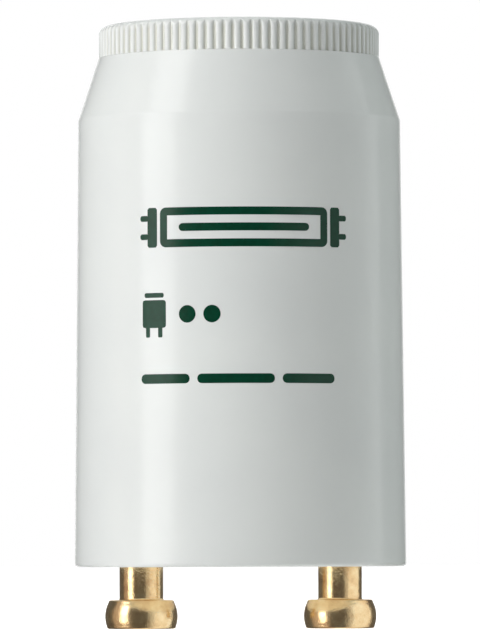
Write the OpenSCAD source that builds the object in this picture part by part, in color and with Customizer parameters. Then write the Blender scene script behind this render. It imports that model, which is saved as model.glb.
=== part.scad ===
// Glow starter for a fluorescent tube lamp: a ribbed plastic canister snapped over an
// insulating base disc, which carries two brass contact pins. Inside, a glow switch bulb and
// a suppression capacitor are wired side by side to the two pins.
// The origin is the middle of the plane that the pin ends stand on. Z runs up the canister's
// axis, the pins lie along X, and the lengths are in millimetres.

/* [Canister] */
// Outer diameter at the rim
can_d = 21.2; // [20.8:0.1:21.5]
// Height from the rim to the top
can_h = 34.6; // [34:0.1:36]
// Slope of the straight wall, in degrees
can_draft = 0.58; // [0.2:0.01:0.8]
// Height of the cone between the straight wall and the grip ring
cone_h = 4; // [3:0.1:5]
// Height of the grip ring
grip_h = 2.05; // [1.8:0.05:3]
// Outer diameter over the grip ribs
grip_d = 17.94; // [17.4:0.02:18.6]
// Number of grip ribs round the ring
grip_ribs = 96; // [84:1:108]
// Radius of each rib's crest
rib_r = 0.25; // [0.24:0.01:0.4]
// Depth of the grooves between the ribs
rib_depth = 0.15; // [0.08:0.01:0.2]
// Turn of the ribs about the axis, in degrees
grip_turn = 3.15; // [0:0.05:3.75]
// Thickness of the side wall
wall_t = 1.15; // [1.05:0.05:1.3]
// Thickness of the roof
roof_t = 1.2; // [0.9:0.1:1.6]
// Rounding of the top edge
top_edge_r = 0.6; // [0.3:0.05:0.7]
// Rounding of the rim's outer edge
rim_edge_r = 0.25; // [0.1:0.05:0.35]
// Diameter of the moulding gate's dimple in the roof
gate_d = 1.8; // [1.2:0.1:2.4]
// Depth of the moulding gate's dimple
gate_depth = 0.25; // [0.1:0.05:0.4]

/* [Base disc] */
// Thickness of the disc
disc_t = 2.2; // [1.8:0.1:2.8]
// Distance from the rim up to the disc's underside
disc_recess = 0.3; // [0.2:0.05:0.5]
// Chamfer of the disc's lower edge and of the socket's mouth
disc_chamfer = 0.25; // [0.1:0.05:0.3]
// Thickness of the canister wall round the disc
socket_wall_t = 0.8; // [0.75:0.05:0.85]
// Radius of the snap bead's section
snap_r = 0.35; // [0.3:0.05:0.5]
// Height that the snap bead stands out of the disc's edge
snap_h = 0.2; // [0.15:0.05:0.25]
// Width of the two keys that stop the disc from turning
key_w = 1.6; // [1.2:0.1:2.2]
// Height that each key stands out of the socket's wall
key_h = 0.8; // [0.6:0.1:1]
// Length that each key runs on above the disc
key_run = 4; // [2:0.5:8]
// Diameter of the boss round each pin
boss_d = 5.4; // [5.2:0.1:5.6]
// Height of the boss round each pin
boss_h = 0.5; // [0.3:0.1:0.8]
// Thickness of the barrier between the pins
barrier_t = 0.9; // [0.7:0.1:1.4]
// Height of the barrier between the pins
barrier_h = 1.1; // [0.6:0.1:1.4]
// Length of the barrier between the pins
barrier_l = 13; // [8:0.5:15]

/* [Contact pins] */
// Distance between the pins' axes
pin_pitch = 12.7; // [12.2:0.1:13]
// Diameter of the pin head
head_d = 4.65; // [4.6:0.05:5]
// Height of the pin head
head_h = 1.85; // [1.6:0.05:2.2]
// Height of the cylindrical land round the head
land_h = 0.5; // [0.3:0.05:0.7]
// Height of the middle of the land above the pin's end
land_z = 0.8; // [0.7:0.05:0.95]
// Amount that the head narrows from the land to its upper edge, on the radius
head_taper = 0.3; // [0.15:0.05:0.4]
// Rounding of the head's two edges
head_edge_r = 0.16; // [0.1:0.02:0.22]
// Diameter of the pin's neck
neck_d = 2.8; // [2.7:0.05:3.1]
// Length of the neck between the head and the rim
neck_l = 2.1; // [1.9:0.05:2.6]
// Diameter of the shank inside the disc
shank_d = 2.4; // [2.2:0.05:2.5]
// Diameter of the riveted end
rivet_d = 3.6; // [3.2:0.1:4]
// Height of the riveted end
rivet_h = 0.55; // [0.4:0.05:0.8]
// Diameter of the bore that takes the wires
cup_d = 1.4; // [1.3:0.05:1.5]
// Depth of the bore from the riveted end
cup_depth = 2.6; // [2.2:0.1:3]

/* [Glow switch] */
// Outer diameter of the bulb
bulb_d = 8.4; // [7.6:0.1:9]
// Length of the bulb without its tip
bulb_l = 19; // [17:0.5:20]
// Thickness of the glass
glass_t = 0.5; // [0.4:0.05:0.7]
// Length of the sealed exhaust tip
tip_l = 1.6; // [1:0.1:2.2]
// Distance of the bulb's axis behind the canister's axis
bulb_y = 2.4; // [2.2:0.1:2.8]
// Height of the bulb above the disc
bulb_lift = 4.4; // [4.2:0.1:5]
// Thickness of the stem's foot
foot_t = 0.8; // [0.6:0.1:1.2]
// Width of the flattened pinch
pinch_w = 5; // [4.4:0.1:5.6]
// Thickness of the flattened pinch
pinch_t = 1.9; // [1.5:0.1:2.4]
// Height of the flattened pinch above the foot
pinch_h = 3.6; // [2.5:0.1:4.5]
// Distance between the bulb's two wires
bulb_lead_gap = 2.4; // [2.3:0.1:2.6]
// Length of each bulb wire above the pinch
bulb_lead_stub = 1.6; // [1.2:0.1:2]
// Diameter of the fixed electrode
post_d = 0.9; // [0.8:0.05:0.95]
// Length of the fixed electrode
post_l = 7.6; // [7:0.1:8]
// Width of the bimetal strip
strip_w = 2.4; // [1.8:0.1:2.8]
// Thickness of the bimetal strip
strip_t = 0.2; // [0.15:0.01:0.25]
// Height of the bimetal strip from its weld to its bend
strip_l = 6.6; // [5.8:0.1:7]
// Length of the strip's free leg
strip_free_l = 3.6; // [2.5:0.1:4.5]
// Gap between the cold strip and the fixed electrode
contact_gap = 0.2; // [0.1:0.02:0.3]

/* [Capacitor] */
// Width of the capacitor
cap_w = 8.8; // [7.5:0.1:9.2]
// Thickness of the capacitor
cap_t = 3.4; // [2.8:0.1:3.8]
// Height of the capacitor
cap_h = 7.4; // [6:0.1:9]
// Rounding of the dipped coating
cap_edge_r = 1.2; // [0.8:0.05:1.3]
// Distance of the capacitor in front of the canister's axis
cap_y = 5.2; // [4.9:0.1:5.6]
// Height of the capacitor above the disc
cap_lift = 5.2; // [4.8:0.1:7]
// Distance between the capacitor's wires
cap_lead_gap = 5; // [4.4:0.1:5.6]

/* [Wires and fits] */
// Diameter of the wires
wire_d = 0.5; // [0.4:0.02:0.54]
// Radius of the wires' bends
wire_bend_r = 0.5; // [0.4:0.02:0.6]
// Height that the solder stands above the riveted end
solder_h = 0.45; // [0.3:0.05:0.5]
// Gap between two moulded pieces
fit_gap = 0.05; // [0.03:0.01:0.08]
// Gap round a piece that is pressed, soldered or sealed in
seal_gap = 0.01; // [0.005:0.005:0.02]

/* [Hidden] */
$fn = 64;

// Steps in each quarter turn of an arc that a revolved outline holds
arc_steps = 6;
// Overlap of pieces of one solid that are joined, and reach of cutters past a face
lap = 0.3;
// Width of the ledge outside the ribs' crests
ledge_margin = 0.02;

// Levels above the pin ends
rim_z = head_h + neck_l;
disc_z = rim_z + disc_recess;
seat_z = disc_z + disc_t;
boss_z = seat_z + boss_h;
rivet_z = boss_z + rivet_h;
top_z = rim_z + can_h;
grip_z = top_z - grip_h;
shoulder_z = grip_z - cone_h;
snap_z = disc_z + disc_t / 2;

// Radii of the canister
rim_r = can_d / 2;
shoulder_r = rim_r - (shoulder_z - rim_z) * tan(can_draft);
grip_r = grip_d / 2;
groove_r = grip_r - rib_depth;
// The cone ends in a ledge just outside the crests, so that each groove has a floor
ledge_r = grip_r + ledge_margin;
attic_r = groove_r - wall_t;
bore_r = rim_r - (seat_z - rim_z) * tan(can_draft) - wall_t;
socket_r = rim_r - socket_wall_t;

// Base disc
disc_r = socket_r - fit_gap;
snap_centre_r = disc_r + snap_h - snap_r;

// Pins
pin_x = pin_pitch / 2;
head_r = head_d / 2;

// Bevel at the mouth of each pin's cup, which the solder fills
cup_bevel_w = 0.35;
cup_bevel_h = 0.2;

// Wires: those of the bulb run low, and those of the capacitor pass above them
wire_r = wire_d / 2;
wire_gap = 0.3;
// Each cup holds two wires side by side, with this gap between them
cup_wire_gap = 0.1;
cup_wire_y = (wire_d + cup_wire_gap) / 2;
wire_end_z = rivet_z - cup_depth + wire_gap;
bulb_run_z = rivet_z + solder_h + wire_bend_r + wire_gap;
cap_run_z = bulb_run_z + wire_d + wire_gap;

// Bulb
bulb_z = seat_z + bulb_lift;
bulb_r = bulb_d / 2;
bulb_inner_r = bulb_r - glass_t;
dome_z = bulb_z + bulb_l - bulb_r;
pinch_z = bulb_z + foot_t + pinch_h;
bulb_wire_x = bulb_lead_gap / 2;
bulb_wire_z = pinch_z + bulb_lead_stub;
weld_z = pinch_z + wire_gap;

// Electrodes
post_x = -bulb_wire_x + wire_r + post_d / 2 + seal_gap;
strip_x = bulb_wire_x + wire_r + seal_gap;
strip_free_x = post_x + post_d / 2 + contact_gap;
strip_bend_r = (strip_x - strip_free_x - strip_t) / 2;
strip_bend_z = weld_z + strip_l;

// Capacitor
cap_z = seat_z + cap_lift;
cap_wire_x = cap_lead_gap / 2;
// Length of each wire inside the coating
cap_grip = 2;
// Coating that runs down each wire: its height, and its radius at its two ends
cap_skirt_h = 0.7;
cap_skirt_low_r = 0.4;
cap_skirt_high_r = 0.77;

// Points of an arc in a revolved outline, from angle a to angle b
function arc(centre, r, a, b) =
  let (n = max(2, ceil(abs(b - a) / 90 * arc_steps)))
  [for (i = [0:n]) let (t = a + (b - a) * i / n) centre + r * [cos(t), sin(t)]];

// Points of a rounded rectangle about the origin
function rounded_rectangle(w, d, r) = [
  for (q = [0:3])
    let (sx = [1, -1, -1, 1][q], sy = [1, 1, -1, -1][q])
    each arc([sx * (w / 2 - r), sy * (d / 2 - r)], r, 90 * q, 90 * q + 90)
];

// Outside of the canister below the grip ring, as a solid
module canister_outside() {
  rotate_extrude()
    polygon(concat(
      [[0, rim_z]],
      arc([rim_r - rim_edge_r, rim_z + rim_edge_r], rim_edge_r, -90, 0),
      [[shoulder_r, shoulder_z], [ledge_r, grip_z], [0, grip_z]]
    ));
}

// Section of the grip ring: rounded crests with narrow grooves between them
module grip_section() {
  circle(groove_r);
  for (i = [0:grip_ribs - 1])
    rotate(grip_turn + i * 360 / grip_ribs)
      translate([grip_r - rib_r, 0]) circle(rib_r, $fn = 24);
}

// Grip ring and roof, rounded off at the top edge
module grip_ring() {
  intersection() {
    translate([0, 0, grip_z - lap])
      linear_extrude(grip_h + lap) grip_section();
    rotate_extrude() {
      translate([0, grip_z - 2 * lap])
        square([ledge_r, top_z - top_edge_r - grip_z + 2 * lap]);
      square([ledge_r - top_edge_r, top_z]);
      translate([ledge_r - top_edge_r, top_z - top_edge_r]) circle(top_edge_r);
    }
  }
}

// Room inside the canister, with the socket and the groove for the base disc
module canister_inside() {
  rotate_extrude()
    polygon([
      [0, rim_z - lap],
      [socket_r + disc_chamfer + lap, rim_z - lap],
      [socket_r, rim_z + disc_chamfer],
      [socket_r, seat_z],
      [bore_r, seat_z],
      [shoulder_r - wall_t, shoulder_z],
      [attic_r, grip_z],
      [attic_r, top_z - roof_t],
      [0, top_z - roof_t]
    ]);
  rotate_extrude()
    translate([snap_centre_r, snap_z]) circle(snap_r + fit_gap);
}

// Keys inside the canister that sit in the base disc's notches
module canister_keys() {
  for (side = [90, 270])
    rotate(side)
      translate([socket_r - key_h, -key_w / 2, disc_z])
        cube([key_h + socket_wall_t / 2, key_w, disc_t + key_run]);
}

module canister() {
  color("gainsboro")
    difference() {
      union() {
        difference() {
          union() {
            canister_outside();
            grip_ring();
          }
          canister_inside();
        }
        canister_keys();
      }
      translate([0, 0, top_z - gate_depth]) cylinder(h = gate_depth + lap, d = gate_d);
    }
}

// The round body of the disc with its snap bead
module disc_body() {
  rotate_extrude()
    polygon([
      [0, disc_z],
      [disc_r - disc_chamfer, disc_z],
      [disc_r, disc_z + disc_chamfer],
      [disc_r, seat_z],
      [0, seat_z]
    ]);
  rotate_extrude()
    translate([snap_centre_r, snap_z]) circle(snap_r);
}

module disc_notches() {
  notch_w = key_w + 2 * fit_gap;
  notch_r = socket_r - key_h - fit_gap;
  for (side = [90, 270])
    rotate(side)
      translate([notch_r, -notch_w / 2, disc_z - lap])
        cube([key_h + snap_h + lap, notch_w, disc_t + 2 * lap]);
}

module base_disc() {
  color("whitesmoke")
    difference() {
      union() {
        disc_body();
        for (side = [-1, 1])
          translate([side * pin_x, 0, seat_z - lap]) cylinder(h = boss_h + lap, d = boss_d);
        translate([-barrier_t / 2, -barrier_l / 2, seat_z - lap])
          cube([barrier_t, barrier_l, barrier_h + lap]);
      }
      for (side = [-1, 1])
        translate([side * pin_x, 0, disc_z - lap])
          cylinder(h = disc_t + boss_h + 2 * lap, d = shank_d + 2 * seal_gap);
      disc_notches();
    }
}

// One turned pin about its own axis: barrel head, neck, shank and riveted cup
module contact_pin() {
  land_low = land_z - land_h / 2;
  land_high = land_z + land_h / 2;
  // The barrel's upper arc drops by the taper over the height above the land
  high_run = head_h - land_high;
  barrel_r = (high_run * high_run + head_taper * head_taper) / (2 * head_taper);
  high_angle = asin((high_run - head_edge_r) / barrel_r);
  low_angle = asin((land_low - head_edge_r) / barrel_r);
  low_edge_r = head_r - barrel_r * (1 - cos(low_angle));
  high_edge_r = head_r - barrel_r * (1 - cos(high_angle));
  barrel_x = head_r - barrel_r;
  // The hammered rim of the riveted end is rounded over by this much
  rivet_edge = 0.12;
  color("goldenrod")
    rotate_extrude()
      polygon(concat(
        [[0, 0]],
        arc([low_edge_r - head_edge_r, head_edge_r], head_edge_r, -90, -low_angle),
        arc([barrel_x, land_low], barrel_r, -low_angle, 0),
        arc([barrel_x, land_high], barrel_r, 0, high_angle),
        arc([high_edge_r - head_edge_r, head_h - head_edge_r], head_edge_r, high_angle, 90),
        [
          [neck_d / 2, head_h],
          [neck_d / 2, disc_z],
          [shank_d / 2, disc_z],
          [shank_d / 2, boss_z],
          [rivet_d / 2 - rivet_edge, boss_z],
          [rivet_d / 2, boss_z + rivet_edge],
          [rivet_d / 2 - rivet_h / 2, rivet_z - rivet_edge],
          [cup_d / 2 + cup_bevel_w, rivet_z],
          [cup_d / 2, rivet_z - cup_bevel_h],
          [cup_d / 2, rivet_z - cup_depth],
          [0, rivet_z - cup_depth - cup_d / 3]
        ]
      ));
}

module contact_pin_left() {
  translate([-pin_x, 0, 0]) contact_pin();
}

module contact_pin_right() {
  translate([pin_x, 0, 0]) contact_pin();
}

// Blown bulb, open at the foot, with the tip where it was pumped out and sealed
module bulb_envelope() {
  tip_r = 0.9;
  tip_end_r = 0.35;
  shoulder = asin(tip_r / bulb_r);
  color("lightcyan")
    translate([0, bulb_y, 0])
      rotate_extrude()
        polygon(concat(
          [[bulb_inner_r, bulb_z], [bulb_r, bulb_z]],
          arc([0, dome_z], bulb_r, 0, 90 - shoulder),
          [[tip_end_r, bulb_z + bulb_l + tip_l - tip_end_r]],
          arc([0, bulb_z + bulb_l + tip_l - tip_end_r], tip_end_r, 30, 90),
          arc([0, dome_z], bulb_inner_r, 90, 0)
        ));
}

// Holes for the bulb's two wires
module bulb_wire_holes(d) {
  for (side = [-1, 1])
    translate([side * bulb_wire_x, bulb_y, bulb_z - lap])
      cylinder(h = foot_t + pinch_h + 2 * lap, d = d);
}

// Glass foot that closes the bulb, with the pinch that holds the wires
module bulb_stem() {
  pinch_edge_r = 0.6;
  color("paleturquoise")
    difference() {
      union() {
        translate([0, bulb_y, bulb_z]) cylinder(h = foot_t, r = bulb_inner_r - seal_gap);
        translate([0, bulb_y, bulb_z + foot_t - lap])
          linear_extrude(pinch_h + lap) polygon(rounded_rectangle(pinch_w, pinch_t, pinch_edge_r));
      }
      bulb_wire_holes(wire_d + 2 * seal_gap);
    }
}

// Bend of a wire from angle a to angle b in the XZ plane, about the origin
module wire_bend(a, b) {
  rotate([90, 0, 0])
    rotate_extrude(angle = b - a, start = a)
      translate([wire_bend_r, 0]) circle(wire_r, $fn = 24);
}

// A wire that comes down from high_z, runs outward at run_z and ends down in a pin's cup
module bent_wire(from, to, high_z, run_z) {
  reach = norm(to - from);
  heading = atan2(to.y - from.y, to.x - from.x);
  color("silver")
    translate([from.x, from.y, 0])
      rotate(heading) {
        translate([0, 0, run_z + wire_bend_r])
          cylinder(h = high_z - run_z - wire_bend_r, r = wire_r);
        translate([wire_bend_r, 0, run_z + wire_bend_r]) wire_bend(180, 270);
        translate([wire_bend_r, 0, run_z])
          rotate([0, 90, 0]) cylinder(h = reach - 2 * wire_bend_r, r = wire_r);
        translate([reach - wire_bend_r, 0, run_z - wire_bend_r]) wire_bend(0, 90);
        translate([reach, 0, wire_end_z])
          cylinder(h = run_z - wire_bend_r - wire_end_z, r = wire_r);
      }
}

module bulb_wire(side) {
  bent_wire([side * bulb_wire_x, bulb_y], [side * pin_x, cup_wire_y], bulb_wire_z, bulb_run_z);
}

module bulb_wire_left() {
  bulb_wire(-1);
}

module bulb_wire_right() {
  bulb_wire(1);
}

// Straight electrode welded beside the left wire
module fixed_electrode() {
  color("dimgray")
    translate([post_x, bulb_y, weld_z]) cylinder(h = post_l, d = post_d);
}

// Bimetal strip bent into a hook: one leg is welded to the right wire, the other hangs free
module bimetal_strip() {
  bend_x = strip_x - strip_bend_r;
  color("slategray")
    translate([0, bulb_y + strip_w / 2, 0])
      rotate([90, 0, 0])
        linear_extrude(strip_w) {
          translate([strip_x, weld_z]) square([strip_t, strip_l]);
          translate([strip_free_x, strip_bend_z - strip_free_l]) square([strip_t, strip_free_l]);
          translate([bend_x, strip_bend_z])
            intersection() {
              difference() {
                circle(strip_bend_r + strip_t);
                circle(strip_bend_r);
              }
              translate([-strip_bend_r - 2 * strip_t, 0])
                square([2 * strip_bend_r + 4 * strip_t, strip_bend_r + 2 * strip_t]);
            }
        }
}

// Rounded block of the dipped coating: its plan, front and side outlines all have round corners
module capacitor_block() {
  translate([0, -cap_y, cap_z + cap_h / 2])
    intersection() {
      translate([0, 0, -cap_h / 2])
        linear_extrude(cap_h) polygon(rounded_rectangle(cap_w, cap_t, cap_edge_r));
      translate([0, cap_t / 2, 0])
        rotate([90, 0, 0])
          linear_extrude(cap_t) polygon(rounded_rectangle(cap_w, cap_h, cap_edge_r));
      translate([-cap_w / 2, 0, 0])
        rotate([90, 0, 90])
          linear_extrude(cap_w) polygon(rounded_rectangle(cap_t, cap_h, cap_edge_r));
    }
}

// Dipped film capacitor with the coating run down onto its wires
module capacitor_body() {
  color("saddlebrown")
    difference() {
      union() {
        capacitor_block();
        for (side = [-1, 1])
          translate([side * cap_wire_x, -cap_y, cap_z - cap_skirt_h])
            cylinder(h = cap_skirt_h + lap, r1 = cap_skirt_low_r, r2 = cap_skirt_high_r);
      }
      for (side = [-1, 1])
        translate([side * cap_wire_x, -cap_y, cap_z - cap_skirt_h - lap])
          cylinder(h = cap_skirt_h + lap + cap_grip, r = wire_r + seal_gap);
    }
}

module capacitor_wire(side) {
  bent_wire(
    [side * cap_wire_x, -cap_y], [side * pin_x, -cup_wire_y],
    cap_z + cap_grip - seal_gap, cap_run_z
  );
}

module capacitor_wire_left() {
  capacitor_wire(-1);
}

module capacitor_wire_right() {
  capacitor_wire(1);
}

// Solder that fills the mouth of a pin's cup round the two wires
module solder(side) {
  plug_r = cup_d / 2 - seal_gap;
  dome_r = plug_r + cup_bevel_w;
  dome_edge = 0.1;
  plug_z = rivet_z - cup_depth / 2;
  color("lightsteelblue")
    difference() {
      translate([side * pin_x, 0, 0])
        rotate_extrude()
          polygon([
            [0, plug_z],
            [plug_r, plug_z],
            [plug_r, rivet_z - cup_bevel_h],
            [dome_r, rivet_z],
            [dome_r - dome_edge, rivet_z + solder_h / 2],
            [dome_r / 2, rivet_z + solder_h],
            [0, rivet_z + solder_h]
          ]);
      for (y = [-1, 1])
        translate([side * pin_x, y * cup_wire_y, plug_z - lap])
          cylinder(h = rivet_z + solder_h - plug_z + 2 * lap, r = wire_r + seal_gap);
    }
}

module solder_left() {
  solder(-1);
}

module solder_right() {
  solder(1);
}

canister();
base_disc();
contact_pin_left();
contact_pin_right();
bulb_envelope();
bulb_stem();
bulb_wire_left();
bulb_wire_right();
fixed_electrode();
bimetal_strip();
capacitor_body();
capacitor_wire_left();
capacitor_wire_right();
solder_left();
solder_right();
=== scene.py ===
"""Fluorescent starter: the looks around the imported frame. Sizes are in millimetres unless a name
says otherwise, and mm() turns them into the scene's metres."""

import math

import bmesh
import bpy
from mathutils import Matrix, Vector


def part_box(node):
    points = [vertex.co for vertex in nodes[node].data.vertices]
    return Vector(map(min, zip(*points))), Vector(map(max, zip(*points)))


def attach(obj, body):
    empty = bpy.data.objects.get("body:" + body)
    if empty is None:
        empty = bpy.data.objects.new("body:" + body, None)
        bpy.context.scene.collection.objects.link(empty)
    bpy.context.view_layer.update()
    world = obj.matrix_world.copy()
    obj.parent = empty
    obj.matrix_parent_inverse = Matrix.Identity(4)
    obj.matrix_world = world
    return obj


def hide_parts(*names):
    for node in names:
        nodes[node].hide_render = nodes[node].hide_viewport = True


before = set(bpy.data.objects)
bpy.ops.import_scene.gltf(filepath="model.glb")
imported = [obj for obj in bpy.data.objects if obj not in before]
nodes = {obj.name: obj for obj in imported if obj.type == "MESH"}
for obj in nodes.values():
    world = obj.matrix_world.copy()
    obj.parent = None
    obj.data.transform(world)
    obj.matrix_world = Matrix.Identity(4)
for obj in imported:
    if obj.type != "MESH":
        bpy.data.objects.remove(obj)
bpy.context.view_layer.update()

MM = 0.001


def mm(value):
    return value * MM


def node_box_mm(name):
    low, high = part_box(name)
    return low / MM, high / MM


def srgb(red, green, blue):
    """Linear colour with alpha, from 0 to 255 values."""
    def linear(value):
        share = value / 255
        return share / 12.92 if share <= 0.04045 else ((share + 0.055) / 1.055) ** 2.4

    return (linear(red), linear(green), linear(blue), 1.0)


# Sizes of the frame that the pieces below are built around
CAN_LOW, CAN_HIGH = node_box_mm("canister")
PIN_LOW, PIN_HIGH = node_box_mm("contact_pin_right")
RIM_Z = CAN_LOW.z
TOP_Z = CAN_HIGH.z
RIM_R = CAN_HIGH.x
PIN_X = (PIN_LOW.x + PIN_HIGH.x) / 2

# Meshes
WELD = 0.0005
ON_AXIS = 1e-6
EDGE_STEPS = 6

# Canister: wall, cone and grip ring
DRAFT = math.tan(math.radians(0.58))
GRIP_H = 2.05
CONE_H = 4.0
GRIP_R = 8.97
GRIP_RIBS = 96
GRIP_TURN = 3.15
RIB_R = 0.25
RIB_DEPTH = 0.15
RIB_STEPS = 10
GRIP_Z = TOP_Z - GRIP_H
SHOULDER_Z = GRIP_Z - CONE_H
SHOULDER_R = RIM_R - (SHOULDER_Z - RIM_Z) * DRAFT
TOP_EDGE_R = 0.6
TOP_EDGE_STEPS = 12
RIM_EDGE_R = 0.25
SHOULDER_EDGE_R = 0.6
LEDGE_R = GRIP_R + 0.02
LEDGE_EDGE_R = 0.05
LEDGE_EDGE_STEPS = 3
LEDGE_INSET = 0.03

# Canister: rings of points between its edges
WALL_END = 2
WALL_MIDDLE = 14
CONE_END = 0.6
GRIP_SHARES = (0.25, 0.5)
ROOF_RADII = (6.5, 3.5)

# Canister: roof, gate mark and socket of the disc
WALL = 1.15
ROOF = 1.2
GATE_R = 0.9
GATE_DEPTH = 0.25
GATE_CHAMFER = 0.08
GATE_TAPER = 0.05
SOCKET_WALL = 0.8
SOCKET_R = RIM_R - SOCKET_WALL
DISC_RECESS = 0.3
DISC_T = 2.2
SEAT_Z = RIM_Z + DISC_RECESS + DISC_T
MOUTH_CHAMFER = 0.25
KEY_W = 1.6
KEY_H = 0.8
KEY_RUN = 4.0
KEY_TURNS = (90, 270)

# Contact pins: head and neck
PIN_STEPS = 160
HEAD_R = 2.325
HEAD_H = 1.85
HEAD_MIDDLE_Z = 0.8
HEAD_BARREL_R = 1.95
HEAD_BARREL_STEPS = 16
HEAD_EDGE_R = 0.16
HEAD_FACE_R = 1.2
NECK_R = 1.4
NECK_FLARE = 0.1
NECK_FLARE_MIDDLE = 0.03

# Contact pins: shank and riveted end, with heights and depths from the disc's inner face
SHANK_R = 1.2
BOSS_H = 0.5
RIVET_FOOT_R = 1.68
RIVET_R = 1.8
RIVET_MIDDLE_H = 0.62
RIVET_SHOULDER_R = 1.525
RIVET_SHOULDER_H = 0.93
RIVET_TOP_R = 1.05
RIVET_TOP_H = 1.05
BORE_R = 0.7
BORE_MOUTH_H = 0.85
BORE_DEPTH = 1.55
BORE_TIP_DEPTH = 2.0

# Print: thickness over the wall, depth under its surface, and the narrowest that it gets
INK = 0.012
INK_SINK = 0.004
INK_LEAST = 0.002


def arc(centre_x, centre_z, radius, start, end, steps):
    """Points of an arc in a revolved outline; angles in degrees."""
    points = []
    for i in range(steps + 1):
        angle = math.radians(start + (end - start) * i / steps)
        points.append((centre_x + radius * math.cos(angle), centre_z + radius * math.sin(angle)))
    return points


def add_object(name, mesh):
    obj = bpy.data.objects.new(name, mesh)
    bpy.context.scene.collection.objects.link(obj)
    return obj


def shade(mesh, sharp_angle=32):
    """Smooth shading with creases where the faces turn sharply."""
    for polygon in mesh.polygons:
        polygon.use_smooth = True
    mesh.set_sharp_from_angle(angle=math.radians(sharp_angle))


def weld(bm):
    bmesh.ops.remove_doubles(bm, verts=bm.verts, dist=mm(WELD))


def add_built(name, bm):
    """Makes a shaded object of a built shape, with its faces turned outward."""
    bmesh.ops.recalc_face_normals(bm, faces=bm.faces)
    mesh = bpy.data.meshes.new(name)
    bm.to_mesh(mesh)
    bm.free()
    shade(mesh)
    return add_object(name, mesh)


def even_section(steps):
    """A round section for revolve(): angles with no limit on the radius."""
    return [(2 * math.pi * i / steps, math.inf) for i in range(steps)]


def revolve(bm, outline, section, centre=(0, 0)):
    """Revolves an outline of (radius, height, ribbed) round a vertical axis and caps it on the axis.
    The section lists angles, each with the largest radius that a ribbed point may have there."""
    cx, cy = centre
    steps = len(section)
    rings = []
    for point in outline:
        radius, height = point[0], point[1]
        ribbed = len(point) > 2 and point[2]
        if radius < ON_AXIS:
            rings.append([bm.verts.new((mm(cx), mm(cy), mm(height)))])
            continue
        ring = []
        for angle, limit in section:
            r = min(radius, limit) if ribbed else radius
            x = cx + r * math.cos(angle)
            y = cy + r * math.sin(angle)
            ring.append(bm.verts.new((mm(x), mm(y), mm(height))))
        rings.append(ring)
    for low, high in zip(rings, rings[1:]):
        for i in range(steps):
            j = (i + 1) % steps
            if len(low) == 1 and len(high) == 1:
                continue
            if len(low) == 1:
                bm.faces.new((low[0], high[j], high[i]))
            elif len(high) == 1:
                bm.faces.new((low[i], low[j], high[0]))
            else:
                bm.faces.new((low[i], low[j], high[j], high[i]))


def hold_runs(outline, least=0.4, margin=0.02):
    """Adds a point near both ends of each long straight run, so that smooth shading bends only at
    its ends and the run itself mirrors like a true cylinder or cone."""
    held = []
    for a, b in zip(outline, outline[1:]):
        held.append(a)
        length = math.hypot(b[0] - a[0], b[1] - a[1])
        if length < least:
            continue
        for share, flags in ((margin / length, a[2:]), (1 - margin / length, b[2:])):
            held.append((a[0] + (b[0] - a[0]) * share, a[1] + (b[1] - a[1]) * share) + flags)
    return held + [outline[-1]]


def add_box(bm, low, high, turn):
    """A box between two corners, turned about Z."""
    matrix = Matrix.Rotation(math.radians(turn), 4, "Z")
    corners = [
        matrix @ Vector((mm(x), mm(y), mm(z)))
        for x in (low[0], high[0]) for y in (low[1], high[1]) for z in (low[2], high[2])
    ]
    verts = [bm.verts.new(c) for c in corners]
    for face in ((0, 1, 3, 2), (4, 6, 7, 5), (0, 4, 5, 1), (2, 3, 7, 6), (0, 2, 6, 4), (1, 5, 7, 3)):
        bm.faces.new([verts[i] for i in face])


# Canister

def wall_r(z):
    """Outer radius of the drafted wall and of the cone above it."""
    if z <= SHOULDER_Z:
        return RIM_R - (z - RIM_Z) * DRAFT
    return SHOULDER_R + (LEDGE_R - SHOULDER_R) * (z - SHOULDER_Z) / CONE_H


def on_outline(z):
    return (wall_r(z), z)


def rib_section():
    """Angles round the ring with its radius at each: rounded crests, and grooves between them."""
    centre_r = GRIP_R - RIB_R
    groove_r = GRIP_R - RIB_DEPTH
    # The crest's arc ends where it reaches the bottom of the groove
    end = math.acos((groove_r ** 2 - centre_r ** 2 - RIB_R ** 2) / (2 * centre_r * RIB_R))
    section = []
    for rib in range(GRIP_RIBS):
        middle = math.radians(GRIP_TURN) + 2 * math.pi * rib / GRIP_RIBS
        for i in range(RIB_STEPS + 1):
            turn = end * (2 * i / RIB_STEPS - 1)
            along = centre_r + RIB_R * math.cos(turn)
            across = RIB_R * math.sin(turn)
            section.append((middle + math.atan2(across, along), math.hypot(along, across)))
    return section


def blend_corner(corner, before, after, radius, steps):
    """Rounds the corner of an outline between two straight runs."""
    a = (Vector(before) - Vector(corner)).normalized()
    b = (Vector(after) - Vector(corner)).normalized()
    half = a.angle(b) / 2
    middle = Vector(corner) + (a + b).normalized() * radius / math.sin(half)
    start = Vector(corner) + a * radius / math.tan(half) - middle
    end = Vector(corner) + b * radius / math.tan(half) - middle
    first = math.degrees(math.atan2(start.y, start.x))
    last = math.degrees(math.atan2(end.y, end.x))
    return arc(middle.x, middle.y, radius, first, first + (last - first + 180) % 360 - 180, steps)


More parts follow.
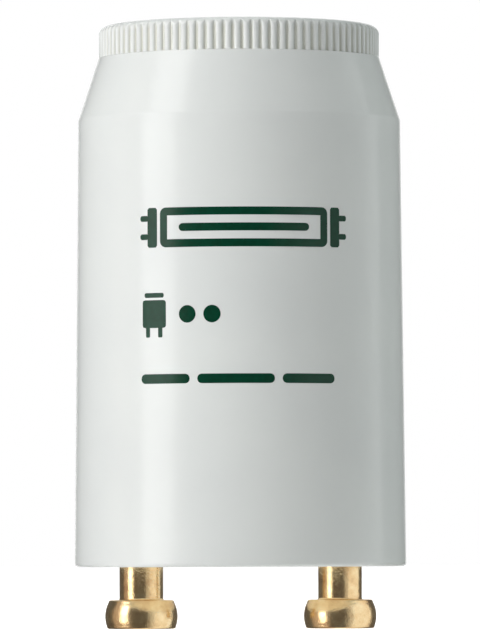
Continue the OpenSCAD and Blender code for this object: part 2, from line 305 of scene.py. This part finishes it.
def canister_outside():
    """From the rim up the wall, the cone and the ring, and over the roof to its gate mark."""
    rim, shoulder, ledge = (RIM_R, RIM_Z), (SHOULDER_R, SHOULDER_Z), (LEDGE_R, GRIP_Z)
    outline = arc(RIM_R - RIM_EDGE_R, RIM_Z + RIM_EDGE_R, RIM_EDGE_R, -90, 0, EDGE_STEPS)
    outline += [on_outline(z) for z in (RIM_Z + WALL_END, RIM_Z + WALL_MIDDLE, SHOULDER_Z - WALL_END)]
    outline += blend_corner(shoulder, rim, ledge, SHOULDER_EDGE_R, EDGE_STEPS)
    outline += [on_outline(GRIP_Z - CONE_END)]
    outline += blend_corner(ledge, on_outline(GRIP_Z - 1), (0, GRIP_Z), LEDGE_EDGE_R, LEDGE_EDGE_STEPS)
    outline += [(LEDGE_R - LEDGE_INSET, GRIP_Z, True)]
    outline += [(LEDGE_R, GRIP_Z + GRIP_H * share, True) for share in GRIP_SHARES]
    top_edge = arc(LEDGE_R - TOP_EDGE_R, TOP_Z - TOP_EDGE_R, TOP_EDGE_R, 0, 90, TOP_EDGE_STEPS)
    outline += [(r, z, True) for r, z in top_edge]
    outline += [(r, TOP_Z) for r in ROOF_RADII]
    return outline + [
        (GATE_R + GATE_CHAMFER, TOP_Z),
        (GATE_R, TOP_Z - GATE_CHAMFER),
        (GATE_R - GATE_TAPER, TOP_Z - GATE_DEPTH),
        (0, TOP_Z - GATE_DEPTH),
    ]


def canister_inside():
    """From under the roof down the wall to the seat of the disc and the mouth."""
    bore_r = RIM_R - (SEAT_Z - RIM_Z) * DRAFT - WALL
    attic_r = GRIP_R - RIB_DEPTH - WALL
    return [
        (0, TOP_Z - ROOF),
        (attic_r, TOP_Z - ROOF),
        (attic_r, GRIP_Z),
        (SHOULDER_R - WALL, SHOULDER_Z),
        (bore_r, SEAT_Z),
        (SOCKET_R, SEAT_Z),
        (SOCKET_R, RIM_Z + MOUTH_CHAMFER),
        (SOCKET_R + MOUTH_CHAMFER, RIM_Z),
    ]


def make_canister():
    section = rib_section()
    outside = canister_outside()
    bm = bmesh.new()
    revolve(bm, hold_runs(outside), section)
    revolve(bm, canister_inside() + [outside[0]], section)
    weld(bm)
    for turn in KEY_TURNS:
        add_box(
            bm,
            (SOCKET_R - KEY_H, -KEY_W / 2, RIM_Z + DISC_RECESS),
            (SOCKET_R + SOCKET_WALL / 2, KEY_W / 2, SEAT_Z + KEY_RUN),
            turn,
        )
    return add_built("canister_shell", bm)


# Contact pins

def pin_outline():
    """The barrel head is one large arc between two small edges; above it come neck and shank."""
    barrel_x = HEAD_R - HEAD_BARREL_R
    high = math.degrees(math.asin((HEAD_H - HEAD_EDGE_R - HEAD_MIDDLE_Z) / HEAD_BARREL_R))
    low = -math.degrees(math.asin((HEAD_MIDDLE_Z - HEAD_EDGE_R) / HEAD_BARREL_R))
    barrel = arc(barrel_x, HEAD_MIDDLE_Z, HEAD_BARREL_R, low, high, HEAD_BARREL_STEPS)
    low_x = barrel[0][0] - HEAD_EDGE_R
    high_x = barrel[-1][0] - HEAD_EDGE_R
    low_edge = arc(low_x, HEAD_EDGE_R, HEAD_EDGE_R, -90, low, EDGE_STEPS)
    high_edge = arc(high_x, HEAD_H - HEAD_EDGE_R, HEAD_EDGE_R, high, 90, EDGE_STEPS)
    disc_z = RIM_Z + DISC_RECESS
    neck_and_shank = [
        (NECK_R + NECK_FLARE, HEAD_H),
        (NECK_R + NECK_FLARE_MIDDLE, HEAD_H + NECK_FLARE_MIDDLE),
        (NECK_R, HEAD_H + NECK_FLARE),
        (NECK_R, disc_z),
        (SHANK_R, disc_z),
        (SHANK_R, SEAT_Z + BOSS_H),
    ]
    rivet = [
        (RIVET_FOOT_R, SEAT_Z + BOSS_H),
        (RIVET_R, SEAT_Z + RIVET_MIDDLE_H),
        (RIVET_SHOULDER_R, SEAT_Z + RIVET_SHOULDER_H),
        (RIVET_TOP_R, SEAT_Z + RIVET_TOP_H),
        (BORE_R, SEAT_Z + BORE_MOUTH_H),
        (BORE_R, SEAT_Z - BORE_DEPTH),
        (0, SEAT_Z - BORE_TIP_DEPTH),
    ]
    return [(0, 0), (HEAD_FACE_R, 0)] + low_edge + barrel + high_edge + neck_and_shank + rivet


def make_pin(name, side):
    bm = bmesh.new()
    revolve(bm, hold_runs(pin_outline()), even_section(PIN_STEPS), centre=(side * PIN_X, 0))
    weld(bm)
    return add_built(name, bm)


# Print

def on_wall(s, z, lift):
    """A point on the canister's front: s runs along the wall from the middle, to the right."""
    radius = wall_r(z) + lift
    angle = s / wall_r(z)
    return Vector((mm(radius * math.sin(angle)), mm(-radius * math.cos(angle)), mm(z)))


def print_band(bm, left, right, low_at, high_at, step=0.2, least_columns=4):
    """A printed field between two curves of s, as a thin closed film on the wall."""
    columns = max(least_columns, math.ceil((right - left) / step))
    layers = []
    for i in range(columns + 1):
        # Columns lie closer together at the two ends, where the outline turns
        s = (left + right) / 2 - (right - left) / 2 * math.cos(math.pi * i / columns)
        low, high = low_at(s), max(high_at(s), low_at(s) + INK_LEAST)
        layers.append([
            bm.verts.new(on_wall(s, z, lift)) for z, lift in
            ((low, INK), (high, INK), (high, -INK_SINK), (low, -INK_SINK))
        ])
    for a, b in zip(layers, layers[1:]):
        for i in range(4):
            j = (i + 1) % 4
            bm.faces.new((a[i], b[i], b[j], a[j]))
    bm.faces.new(layers[0])
    bm.faces.new(list(reversed(layers[-1])))


def print_bar(bm, left, right, low, high, corner, low_corner=None):
    """A bar with round corners; those at its low side may have a radius of their own."""
    def inset(s, radius):
        edge = min(s - left, right - s)
        if edge >= radius:
            return 0
        return radius - math.sqrt(max(0, radius ** 2 - (radius - edge) ** 2))

    below = corner if low_corner is None else low_corner
    print_band(bm, left, right, lambda s: low + inset(s, below), lambda s: high - inset(s, corner))


def print_disc(bm, centre_s, centre_z, radius):
    def half(s):
        return math.sqrt(max(0, radius ** 2 - (s - centre_s) ** 2))

    print_band(
        bm, centre_s - radius, centre_s + radius,
        lambda s: centre_z - half(s), lambda s: centre_z + half(s), step=radius / 10,
    )


def print_tube(bm):
    """A lamp tube: a frame round a bar, with an end cap and two pins at either end."""
    left, right = -5.2, 5.8
    low, high = 24.0, 26.5
    line, corner = 0.5, 0.4
    print_bar(bm, left, right, high - line, high, corner, low_corner=0)
    print_bar(bm, left, right, low, low + line, 0, low_corner=corner)
    for edge in (left, right - line):
        print_bar(bm, edge, edge + line, low + line, high - line, 0)
    middle = (low + high) / 2
    bar_inset, bar_half = 1.3, 0.25
    print_bar(bm, left + bar_inset, right - bar_inset, middle - bar_half, middle + bar_half, bar_half)
    cap_gap, cap_w, cap_corner = 0.22, 0.7, 0.12
    pin_l, pin_h, pin_corner, pin_sink = 0.55, 0.36, 0.1, 0.05
    for edge, way in ((left, -1), (right, 1)):
        near, far = edge + way * cap_gap, edge + way * (cap_gap + cap_w)
        print_bar(bm, min(near, far), max(near, far), low, high, cap_corner)
        foot, tip = far - way * pin_sink, far + way * pin_l
        for share in (0.27, 0.73):
            z = low + (high - low) * share
            print_bar(bm, min(foot, tip), max(foot, tip), z - pin_h / 2, z + pin_h / 2, pin_corner)


def print_starter(bm):
    """A small starter on its two pins."""
    left, right = -6.5, -4.8
    body_low, body_high, body_corner = 18.95, 20.7, 0.15
    top_low, top_high, top_inset, top_corner = 20.85, 21.15, 0.15, 0.08
    pin_low, pin_high, pin_inset, pin_w, pin_corner = 18.35, 19.0, 0.25, 0.3, 0.06
    print_bar(bm, left, right, body_low, body_high, body_corner)
    print_bar(bm, left + top_inset, right - top_inset, top_low, top_high, top_corner)
    for edge in (left + pin_inset, right - (pin_inset + pin_w)):
        print_bar(bm, edge, edge + pin_w, pin_low, pin_high, pin_corner)


def print_dots(bm):
    dot_z, dot_r = 19.8, 0.55
    for centre in (-3.35, -1.75):
        print_disc(bm, centre, dot_z, dot_r)


def print_line(bm):
    """A ruled line with two breaks."""
    low, high, corner = 15.45, 16.05, 0.28
    for left, right in ((-6.6, -3.2), (-2.7, 2.2), (2.7, 6.3)):
        print_bar(bm, left, right, low, high, corner)


def make_print():
    """Plain printed signs where a starter carries its print."""
    bm = bmesh.new()
    print_tube(bm)
    print_starter(bm)
    print_dots(bm)
    print_line(bm)
    return add_built("canister_print", bm)


# Materials

# A colour mix shares the names of these sockets with its other sockets
MIX_FIRST = 6
MIX_SECOND = 7
MIX_RESULT = 2


class Graph:
    """Short helpers for one material's nodes."""

    def __init__(self, name):
        self.material = bpy.data.materials.new(name)
        self.material.use_nodes = True
        self.tree = self.material.node_tree
        self.shader = self.tree.nodes["Principled BSDF"]

    def node(self, kind, **settings):
        made = self.tree.nodes.new(kind)
        for key, value in settings.items():
            setattr(made, key, value)
        return made

    def link(self, source, target):
        self.tree.links.new(source, target)

    def drive(self, source, target):
        """Links a value to a socket of the shader."""
        self.link(source, self.shader.inputs[target])

    def coordinates(self, scale=(1, 1, 1)):
        """Object coordinates in millimetres, stretched by scale."""
        texture = self.node("ShaderNodeTexCoord")
        mapping = self.node("ShaderNodeMapping")
        mapping.inputs["Scale"].default_value = [s / MM for s in scale]
        self.link(texture.outputs["Object"], mapping.inputs["Vector"])
        return mapping.outputs["Vector"]

    def noise(self, vector, scale, detail=3.0, roughness=0.5):
        made = self.node("ShaderNodeTexNoise")
        made.inputs["Scale"].default_value = scale
        made.inputs["Detail"].default_value = detail
        made.inputs["Roughness"].default_value = roughness
        self.link(vector, made.inputs["Vector"])
        return made.outputs["Fac"]

    def spread(self, value, low, high, from_low=0.3, from_high=0.7):
        """Maps a noise value to a range."""
        made = self.node("ShaderNodeMapRange")
        made.inputs["From Min"].default_value = from_low
        made.inputs["From Max"].default_value = from_high
        made.inputs["To Min"].default_value = low
        made.inputs["To Max"].default_value = high
        self.link(value, made.inputs["Value"])
        return made.outputs["Result"]

    def colours(self, value, *stops):
        """A colour ramp from (place, colour) pairs."""
        made = self.node("ShaderNodeValToRGB")
        ramp = made.color_ramp
        while len(ramp.elements) < len(stops):
            ramp.elements.new(0.5)
        for element, (place, colour) in zip(ramp.elements, stops):
            element.position = place
            element.color = colour
        self.link(value, made.inputs["Fac"])
        return made.outputs["Color"]

    def bump(self, height, strength, distance, normal=None):
        made = self.node("ShaderNodeBump")
        made.inputs["Strength"].default_value = strength
        made.inputs["Distance"].default_value = mm(distance)
        self.link(height, made.inputs["Height"])
        if normal is not None:
            self.link(normal, made.inputs["Normal"])
        return made.outputs["Normal"]

    def set(self, **values):
        for key, value in values.items():
            self.shader.inputs[key.replace("_", " ")].default_value = value


def painted_groove_shade(g, colour):
    """Darkens and warms the colour towards the bottom of the grip ring's grooves: painted shade, with
    a painted warm cast of light bounced inside them.
    """
    # Painted shade: a darker, warm grey multiplied into the bottoms of the grooves
    warm = (0.88, 0.86, 0.79, 1)
    crest_depth, foot_fade, top_fade = 0.03, 0.1, 0.2

    def along(scale):
        made = g.node("ShaderNodeVectorMath", operation="LENGTH")
        g.link(g.coordinates(scale), made.inputs["Vector"])
        return made.outputs["Value"]

    share = g.spread(along((1, 1, 0)), 1, 0, GRIP_R - RIB_DEPTH, GRIP_R - crest_depth)
    above_foot = g.spread(along((0, 0, 1)), 0, 1, GRIP_Z - foot_fade, GRIP_Z)
    below_top = g.spread(along((0, 0, 1)), 1, 0, TOP_Z - TOP_EDGE_R, TOP_Z - top_fade)
    for limit in (above_foot, below_top):
        both = g.node("ShaderNodeMath", operation="MULTIPLY")
        g.link(share, both.inputs[0])
        g.link(limit, both.inputs[1])
        share = both.outputs["Value"]
    mix = g.node("ShaderNodeMix", data_type="RGBA", blend_type="MULTIPLY")
    g.link(share, mix.inputs["Factor"])
    g.link(colour, mix.inputs[MIX_FIRST])
    mix.inputs[MIX_SECOND].default_value = warm
    return mix.outputs[MIX_RESULT]


def moulded_plastic(name, dark, light, roughness, cloud_scale=0.12, tint=None):
    """Moulded plastic: faint clouding of the colour, a fine spark-eroded grain and slow sinks."""
    g = Graph(name)
    place = g.coordinates()
    cloud = g.noise(place, cloud_scale, detail=4)
    colour = g.colours(cloud, (0.3, dark), (0.7, light))
    # A tint may paint shade onto the colour, as it does in the grip ring's grooves
    if tint:
        colour = tint(g, colour)
    g.drive(colour, "Base Color")
    grain = g.noise(place, 7.0)
    g.drive(g.spread(grain, roughness - 0.02, roughness + 0.02), "Roughness")
    sink = g.noise(place, 0.25, detail=2)
    sinks = g.bump(sink, strength=0.25, distance=0.05)
    g.drive(g.bump(grain, strength=0.05, distance=0.002, normal=sinks), "Normal")
    g.set(IOR=1.5)
    return g.material


def brass_material():
    """Turned brass: rings left by the tool, fine scuffs, small dents, and tarnish in blotches."""
    g = Graph("turned_brass")
    place = g.coordinates()
    blotch = g.noise(place, 0.9, detail=5, roughness=0.65)
    dull, plain, bright = srgb(218, 180, 132), srgb(240, 209, 158), srgb(248, 226, 180)
    g.drive(g.colours(blotch, (0.3, dull), (0.5, plain), (0.7, bright)), "Base Color")
    ring = g.noise(g.coordinates((0.15, 0.15, 9.0)), 1.6, roughness=0.6)
    scuff = g.noise(g.coordinates((6.0, 6.0, 0.4)), 1.6, roughness=0.6)
    dent = g.noise(place, 4.5, roughness=0.6)
    g.drive(g.spread(scuff, 0.15, 0.24), "Roughness")
    rings = g.bump(ring, strength=0.1, distance=0.004)
    scuffs = g.bump(scuff, strength=0.3, distance=0.006, normal=rings)
    dents = g.bump(dent, strength=0.45, distance=0.03, normal=scuffs)
    g.drive(g.bump(blotch, strength=0.2, distance=0.02, normal=dents), "Normal")
    g.set(Metallic=1.0)
    return g.material


def ink_material():
    """Pad-printed ink: a dark film, a little thinner in places."""
    g = Graph("printed_ink")
    place = g.coordinates()
    film = g.noise(place, 2.2, detail=4, roughness=0.6)
    g.drive(g.colours(film, (0.35, srgb(0, 62, 42)), (0.7, srgb(0, 54, 35))), "Base Color")
    g.drive(g.spread(film, 0.18, 0.26), "Roughness")
    g.drive(g.bump(g.noise(place, 9.0, detail=2), strength=0.1, distance=0.003), "Normal")
    g.set(Specular_IOR_Level=0.25)
    return g.material


def drawn_metal(name, dark, light, roughness):
    """Wire, strip and solder: a bright metal with draw marks and a dull bloom."""
    g = Graph(name)
    bloom = g.noise(g.coordinates(), 1.4, detail=4, roughness=0.6)
    g.drive(g.colours(bloom, (0.3, dark), (0.7, light)), "Base Color")
    marks = g.noise(g.coordinates((6.0, 6.0, 0.6)), 2.0)
    g.drive(g.spread(marks, roughness - 0.08, roughness + 0.1), "Roughness")
    g.drive(g.bump(marks, strength=0.2, distance=0.005), "Normal")
    g.set(Metallic=1.0)
    return g.material


def glass_material(name, tint):
    """Blown glass: clear, with slow waves in its surface."""
    g = Graph(name)
    place = g.coordinates()
    wave = g.noise(place, 0.35, detail=2)
    g.drive(g.colours(wave, (0.3, tint), (0.7, srgb(250, 253, 253))), "Base Color")
    g.drive(g.bump(wave, strength=0.2, distance=0.05), "Normal")
    g.drive(g.spread(g.noise(place, 4.0), 0.01, 0.05), "Roughness")
    g.set(IOR=1.5, Transmission_Weight=1.0)
    return g.material


def dipped_coating():
    """Dipped resin: glossy, with runs and a faint orange peel."""
    g = Graph("dipped_coating")
    place = g.coordinates()
    run = g.noise(place, 0.5)
    g.drive(g.colours(run, (0.3, srgb(120, 52, 22)), (0.7, srgb(158, 74, 34))), "Base Color")
    peel = g.noise(place, 3.0, detail=2)
    g.drive(g.spread(peel, 0.16, 0.28), "Roughness")
    g.drive(g.bump(peel, strength=0.3, distance=0.03), "Normal")
    return g.material


def give(obj, material):
    obj.data.materials.clear()
    obj.data.materials.append(material)


# Pieces

# The canister's colour carries painted shade in the grip ring's grooves
plastic = moulded_plastic(
    "canister_plastic", srgb(227, 228, 227), srgb(232, 233, 231), roughness=0.18, tint=painted_groove_shade
)
disc_plastic = moulded_plastic(
    "disc_plastic", srgb(226, 225, 217), srgb(232, 231, 224), roughness=0.38, cloud_scale=0.24
)
brass = brass_material()
wire_metal = drawn_metal("tinned_wire", srgb(188, 186, 180), srgb(214, 212, 206), 0.28)
electrode_metal = drawn_metal("electrode_metal", srgb(150, 150, 148), srgb(178, 177, 174), 0.35)
bimetal = drawn_metal("bimetal", srgb(134, 128, 120), srgb(170, 160, 148), 0.32)
solder_metal = drawn_metal("solder_metal", srgb(176, 178, 180), srgb(206, 208, 210), 0.3)

canister = make_canister()
give(canister, plastic)
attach(canister, "root")
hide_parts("canister")

for pin_name, pin_node, pin_side in (
    ("turned_pin_left", "contact_pin_left", -1), ("turned_pin_right", "contact_pin_right", 1)
):
    pin = make_pin(pin_name, pin_side)
    give(pin, brass)
    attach(pin, "root")
    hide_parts(pin_node)

label = make_print()
give(label, ink_material())
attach(label, "root")

give(nodes["base_disc"], disc_plastic)
give(nodes["bulb_envelope"], glass_material("bulb_glass", srgb(238, 246, 246)))
give(nodes["bulb_stem"], glass_material("stem_glass", srgb(206, 226, 222)))
give(nodes["fixed_electrode"], electrode_metal)
give(nodes["bimetal_strip"], bimetal)
give(nodes["capacitor_body"], dipped_coating())
for side in ("left", "right"):
    give(nodes["bulb_wire_" + side], wire_metal)
    give(nodes["capacitor_wire_" + side], wire_metal)
    give(nodes["solder_" + side], solder_metal)


# Stage: a pale floor, a white surround, soft lamps, and dark cards that only reflections show

WHITE = (1, 1, 1, 1)
BLACK = (0, 0, 0, 1)
AMBIENT = (0.122, 0.132, 0.13, 1)
FLOOR_COLOUR = srgb(248, 248, 248)
FLOOR_HALF = 4000
FLOOR_GLOW = 0.85
AIM_Z = 20
SEEN_RAYS = ("Is Camera Ray", "Is Glossy Ray", "Is Transmission Ray")


def seen_share(tree):
    """1 where the camera sees the stage, straight or in metal, gloss and glass, and 0 elsewhere."""
    path = tree.nodes.new("ShaderNodeLightPath")
    share = path.outputs[SEEN_RAYS[0]]
    for output in SEEN_RAYS[1:]:
        either = tree.nodes.new("ShaderNodeMath")
        either.operation = "MAXIMUM"
        tree.links.new(share, either.inputs[0])
        tree.links.new(path.outputs[output], either.inputs[1])
        share = either.outputs["Value"]
    return share


def make_floor():
    half = mm(FLOOR_HALF)
    mesh = bpy.data.meshes.new("floor")
    mesh.from_pydata(
        [(-half, -half, 0), (half, -half, 0), (half, half, 0), (-half, half, 0)], [], [(0, 1, 2, 3)]
    )
    floor = add_object("floor", mesh)
    material = bpy.data.materials.new("floor_paper")
    material.use_nodes = True
    tree = material.node_tree
    shader = tree.nodes["Principled BSDF"]
    shader.inputs["Base Color"].default_value = FLOOR_COLOUR
    shader.inputs["Roughness"].default_value = 0.9
    shader.inputs["Emission Color"].default_value = WHITE
    strength = tree.nodes.new("ShaderNodeMath")
    strength.operation = "MULTIPLY"
    strength.inputs[1].default_value = FLOOR_GLOW
    tree.links.new(seen_share(tree), strength.inputs[0])
    tree.links.new(strength.outputs["Value"], shader.inputs["Emission Strength"])
    give(floor, material)
    # The pins mirror the white surround and the cards down to their ends, as in the photograph
    floor.visible_glossy = False


def make_world():
    """The surround is white where it is seen, and lights the object with the ambient colour."""
    world = bpy.data.worlds.new("studio")
    bpy.context.scene.world = world
    world.use_nodes = True
    tree = world.node_tree
    mix = tree.nodes.new("ShaderNodeMix")
    mix.data_type = "RGBA"
    tree.links.new(seen_share(tree), mix.inputs["Factor"])
    mix.inputs[MIX_FIRST].default_value = AMBIENT
    mix.inputs[MIX_SECOND].default_value = WHITE
    background = tree.nodes["Background"]
    tree.links.new(mix.outputs[MIX_RESULT], background.inputs["Color"])
    background.inputs["Strength"].default_value = 1.0


def direction(azimuth, elevation):
    """Away from the object; azimuth 0 is the photograph's camera side, and it grows to the right."""
    a, e = math.radians(azimuth), math.radians(elevation)
    return Vector((math.sin(a) * math.cos(e), -math.cos(a) * math.cos(e), math.sin(e)))


def add_lamp(name, place, size, power, tint=(1, 1, 1), shown=False):
    """A rectangular soft lamp that faces the object; only a shown one has a highlight. Its place is
    its azimuth, elevation and distance, and its size is its width and height."""
    azimuth, elevation, distance = place
    width, height = size
    lamp = bpy.data.lights.new(name, "AREA")
    lamp.shape = "RECTANGLE"
    lamp.size = mm(width)
    lamp.size_y = mm(height)
    lamp.energy = power
    lamp.color = tint
    obj = bpy.data.objects.new(name, lamp)
    bpy.context.scene.collection.objects.link(obj)
    obj.visible_glossy = shown
    away = direction(azimuth, elevation)
    obj.location = Vector((0, 0, mm(AIM_Z))) + away * mm(distance)
    obj.rotation_mode = "QUATERNION"
    obj.rotation_quaternion = away.to_track_quat("Z", "Y")


def add_card(name, left, right, distance, colour):
    """An upright card between two azimuths that only reflections show."""
    a, b = direction(left, 0) * mm(distance), direction(right, 0) * mm(distance)
    up = Vector((0, 0, mm(3 * distance)))
    mesh = bpy.data.meshes.new(name)
    mesh.from_pydata([a - up, b - up, b + up, a + up], [], [(0, 1, 2, 3)])
    card = add_object(name, mesh)
    material = bpy.data.materials.new(name)
    material.use_nodes = True
    shader = material.node_tree.nodes["Principled BSDF"]
    shader.inputs["Base Color"].default_value = BLACK
    shader.inputs["Specular IOR Level"].default_value = 0
    shader.inputs["Emission Color"].default_value = colour
    shader.inputs["Emission Strength"].default_value = 1.0
    give(card, material)
    card.visible_camera = False
    card.visible_diffuse = False
    card.visible_transmission = False
    card.visible_shadow = False


make_floor()
make_world()

COOL = (0.93, 1, 0.98)
SOFT_SIZE = (260, 420)
add_lamp("strip_left", (-59, 14, 400), (180, 620), 0.84, shown=True)
add_lamp("key_left", (-60, 10, 450), (160, 420), 0.66)
add_lamp("soft_front", (-36, 10, 450), SOFT_SIZE, 0.5)
add_lamp("soft_back", (122, 8, 450), SOFT_SIZE, 1.15, tint=COOL)
add_lamp("soft_top", (0, 88, 450), (500, 500), 0.75, tint=COOL)
# A small lamp on the floor stands in for the light that white paper sends up to the disc
add_lamp("bounce", (0, -90, 19.9), (20, 20), 0.0008)

DARK_CARD = (0.13, 0.13, 0.13, 1)
GREY_CARD = (0.55, 0.55, 0.55, 1)
WARM_CARD = (0.5, 0.42, 0.38, 1)
add_card("card_front", -40, 24, 900, DARK_CARD)
add_card("card_front_end", 24, 42, 900, GREY_CARD)
add_card("card_left", -165, -102, 700, DARK_CARD)
add_card("card_left_warm", -102, -40, 700, WARM_CARD)
add_card("card_right", 116, 165, 700, DARK_CARD)


# Camera: the photograph's frame, with its horizon, its upright axis and the turn of the whole

FRAME_WIDTH = 480
FRAME_HEIGHT = 640
PIXELS_PER_MM = 15.63
CAMERA_DISTANCE = 450.0
HORIZON_Y = 559.0
EYE_Z = 4.45
AXIS_X = 239.8
ROLL = 0.19
SENSOR = 36.0
CLIP_START = 10
CLIP_END = 12000

camera_data = bpy.data.cameras.new("camera")
camera = bpy.data.objects.new("camera", camera_data)
bpy.context.scene.collection.objects.link(camera)
camera_data.sensor_width = SENSOR
camera_data.sensor_fit = "AUTO"
camera_data.lens = SENSOR * CAMERA_DISTANCE * PIXELS_PER_MM / FRAME_HEIGHT
camera_data.clip_start = mm(CLIP_START)
camera_data.clip_end = mm(CLIP_END)
pitch = math.atan((HORIZON_Y - FRAME_HEIGHT / 2) / PIXELS_PER_MM / CAMERA_DISTANCE)
aside = (FRAME_WIDTH / 2 - AXIS_X) / PIXELS_PER_MM
camera.location = (mm(aside), mm(-CAMERA_DISTANCE), mm(EYE_Z))
camera.rotation_mode = "QUATERNION"
camera.rotation_quaternion = (
    Matrix.Rotation(math.radians(90) + pitch, 4, "X") @ Matrix.Rotation(math.radians(-ROLL), 4, "Z")
).to_quaternion()
bpy.context.scene.camera = camera
bpy.context.scene.view_settings.view_transform = "Standard"
